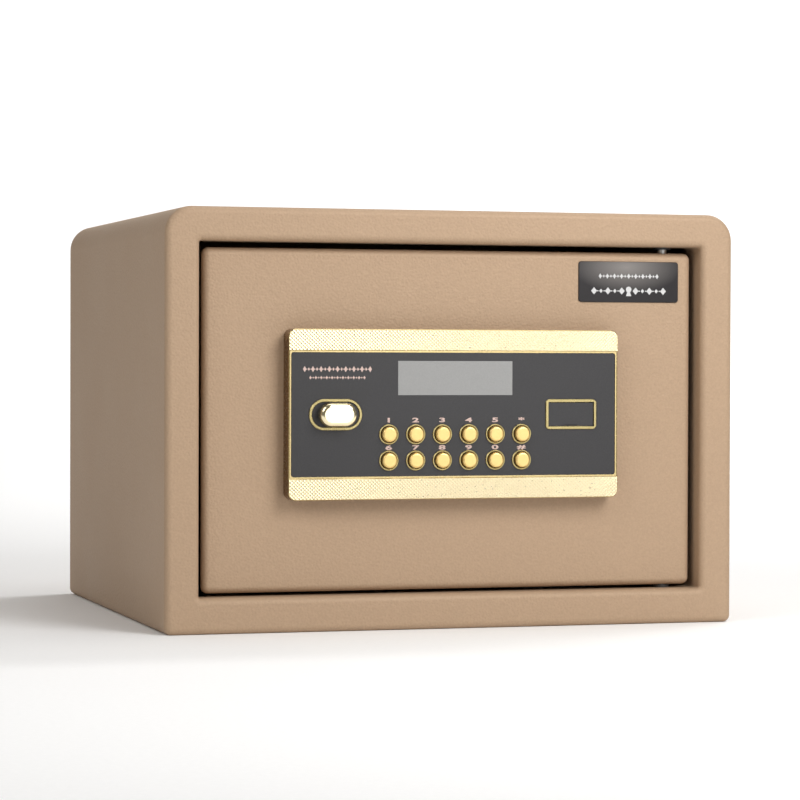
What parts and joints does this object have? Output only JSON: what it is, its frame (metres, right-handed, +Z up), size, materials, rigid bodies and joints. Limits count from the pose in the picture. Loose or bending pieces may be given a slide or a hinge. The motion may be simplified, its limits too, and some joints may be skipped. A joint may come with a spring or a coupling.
{
  "type": "in-room safe",
  "caption": "Small steel hotel room safe with a recessed right-hinged door, a raised gold keypad panel with display, thumb-turn knob and covered emergency lock.",
  "frame": {"origin": "centre of the cabinet's underside", "axes": "+X to the right facing the door, +Y into the safe, +Z up; the door faces -Y"},
  "size_m": [0.355, 0.3212, 0.25],
  "materials": {
    "body_paint": "champagne bronze powder coat, fine texture",
    "gold_trim": "bright gold plating on die-cast trim",
    "fascia_gloss": "dark grey gloss sheet",
    "display_grey": "flat grey display window",
    "dark_plastic": "fine spark texture",
    "keypad_rubber": "moulded silicone",
    "circuit_board": "green solder mask",
    "white_nylon": "moulded nylon",
    "zinc_steel": "zinc plated",
    "bright_chrome": "polished",
    "lock_brass": "turned",
    "plate_finish": "dark anodised, satin",
    "cell_wrap": "printed sleeve",
    "red_plastic": "moulded",
    "mat_felt": "needle felt"
  },
  "bodies": {
    "cabinet": {"cabinet_wrap": "body_paint", "base_plate": "body_paint", "back_plate": "body_paint", "front_frame": "body_paint", "keeper_strip": "body_paint", "hinge_bushes": "dark_plastic", "floor_mat": "mat_felt"},
    "door": {"door_plate": "body_paint", "hinge_blocks": "body_paint", "hinge_pins": "zinc_steel", "nameplate": "plate_finish", "panel_housing": "gold_trim", "knurled_bands": "gold_trim", "fascia": "fascia_gloss", "lcd_window": "display_grey", "lcd_module": "dark_plastic", "key_rings": "gold_trim", "keypad_mat": "keypad_rubber", "keypad_pcb": "circuit_board", "knob_bezel": "gold_trim", "key_cover_frame": "gold_trim", "panel_screws": "zinc_steel", "spindle_bush": "white_nylon", "lock_cylinder": "lock_brass", "lock_nut": "zinc_steel", "bolt_guide": "zinc_steel", "carriage_posts": "zinc_steel", "carriage_screws": "zinc_steel", "solenoid_body": "zinc_steel", "main_pcb": "circuit_board", "board_header": "dark_plastic", "pcb_standoffs": "zinc_steel", "battery_holder": "dark_plastic", "batteries": "cell_wrap", "lock_cover": "body_paint", "cover_standoffs": "zinc_steel", "cover_screws": "bright_chrome"},
    "knob": {"knob": "gold_trim", "knob_spindle": "zinc_steel"},
    "bolt_work": {"bolt_carriage": "zinc_steel", "bolts": "bright_chrome"},
    "key_1": {"key_1": "gold_trim"},
    "key_2": {"key_2": "gold_trim"},
    "key_3": {"key_3": "gold_trim"},
    "key_4": {"key_4": "gold_trim"},
    "key_5": {"key_5": "gold_trim"},
    "key_star": {"key_star": "gold_trim"},
    "key_6": {"key_6": "gold_trim"},
    "key_7": {"key_7": "gold_trim"},
    "key_8": {"key_8": "gold_trim"},
    "key_9": {"key_9": "gold_trim"},
    "key_0": {"key_0": "gold_trim"},
    "key_hash": {"key_hash": "gold_trim"},
    "key_cover": {"key_cover": "fascia_gloss"},
    "lock_plug": {"lock_plug": "lock_brass", "lock_cam": "zinc_steel"},
    "latch_plunger": {"solenoid_plunger": "zinc_steel"},
    "battery_cover": {"battery_cover": "dark_plastic"},
    "reset_button": {"reset_button": "red_plastic"}
  },
  "joints": [
    {"name": "door_swing", "type": "hinge", "parent": "cabinet", "child": "door", "pos_m": [0.1375, -0.1375, 0.125], "axis": [0, 0, 1], "range_deg": [0, 110]},
    {"name": "knob_turn", "type": "hinge", "parent": "door", "child": "knob", "pos_m": [-0.0759, -0.158, 0.1283], "axis": [0, 1, 0], "range_deg": [0, 90]},
    {"name": "bolt_throw", "type": "slide", "parent": "door", "child": "bolt_work", "axis": [-1, 0, 0], "range_m": [0, 0.01414]},
    {"name": "key_1_press", "type": "slide", "parent": "door", "child": "key_1", "axis": [0, 1, 0], "range_m": [0, 0.0012], "stiffness_N_per_m": 200},
    {"name": "key_2_press", "type": "slide", "parent": "door", "child": "key_2", "axis": [0, 1, 0], "range_m": [0, 0.0012], "stiffness_N_per_m": 200},
    {"name": "key_3_press", "type": "slide", "parent": "door", "child": "key_3", "axis": [0, 1, 0], "range_m": [0, 0.0012], "stiffness_N_per_m": 200},
    {"name": "key_4_press", "type": "slide", "parent": "door", "child": "key_4", "axis": [0, 1, 0], "range_m": [0, 0.0012], "stiffness_N_per_m": 200},
    {"name": "key_5_press", "type": "slide", "parent": "door", "child": "key_5", "axis": [0, 1, 0], "range_m": [0, 0.0012], "stiffness_N_per_m": 200},
    {"name": "key_star_press", "type": "slide", "parent": "door", "child": "key_star", "axis": [0, 1, 0], "range_m": [0, 0.0012], "stiffness_N_per_m": 200},
    {"name": "key_6_press", "type": "slide", "parent": "door", "child": "key_6", "axis": [0, 1, 0], "range_m": [0, 0.0012], "stiffness_N_per_m": 200},
    {"name": "key_7_press", "type": "slide", "parent": "door", "child": "key_7", "axis": [0, 1, 0], "range_m": [0, 0.0012], "stiffness_N_per_m": 200},
    {"name": "key_8_press", "type": "slide", "parent": "door", "child": "key_8", "axis": [0, 1, 0], "range_m": [0, 0.0012], "stiffness_N_per_m": 200},
    {"name": "key_9_press", "type": "slide", "parent": "door", "child": "key_9", "axis": [0, 1, 0], "range_m": [0, 0.0012], "stiffness_N_per_m": 200},
    {"name": "key_0_press", "type": "slide", "parent": "door", "child": "key_0", "axis": [0, 1, 0], "range_m": [0, 0.0012], "stiffness_N_per_m": 200},
    {"name": "key_hash_press", "type": "slide", "parent": "door", "child": "key_hash", "axis": [0, 1, 0], "range_m": [0, 0.0012], "stiffness_N_per_m": 200},
    {"name": "key_cover_lift", "type": "hinge", "parent": "door", "child": "key_cover", "pos_m": [0.0713, -0.1564, 0.13455], "axis": [-1, 0, 0], "range_deg": [0, 95]},
    {"name": "emergency_lock_turn", "type": "hinge", "parent": "door", "child": "lock_plug", "pos_m": [0.0713, -0.145, 0.1282], "axis": [0, 1, 0], "range_deg": [0, 90]},
    {"name": "latch_slide", "type": "slide", "parent": "door", "child": "latch_plunger", "axis": [0, 0, -1], "range_m": [0, 0.006]},
    {"name": "battery_cover_open", "type": "hinge", "parent": "door", "child": "battery_cover", "pos_m": [0.044, -0.1068, 0.0498], "axis": [-1, 0, 0], "range_deg": [0, 75]},
    {"name": "reset_press", "type": "slide", "parent": "door", "child": "reset_button", "axis": [0, -1, 0], "range_m": [0, 0.001], "stiffness_N_per_m": 200}
  ],
  "couplings": [
    {"joint": "knob_turn", "follows": "bolt_throw", "rad_per_m": 111.07}
  ]
}
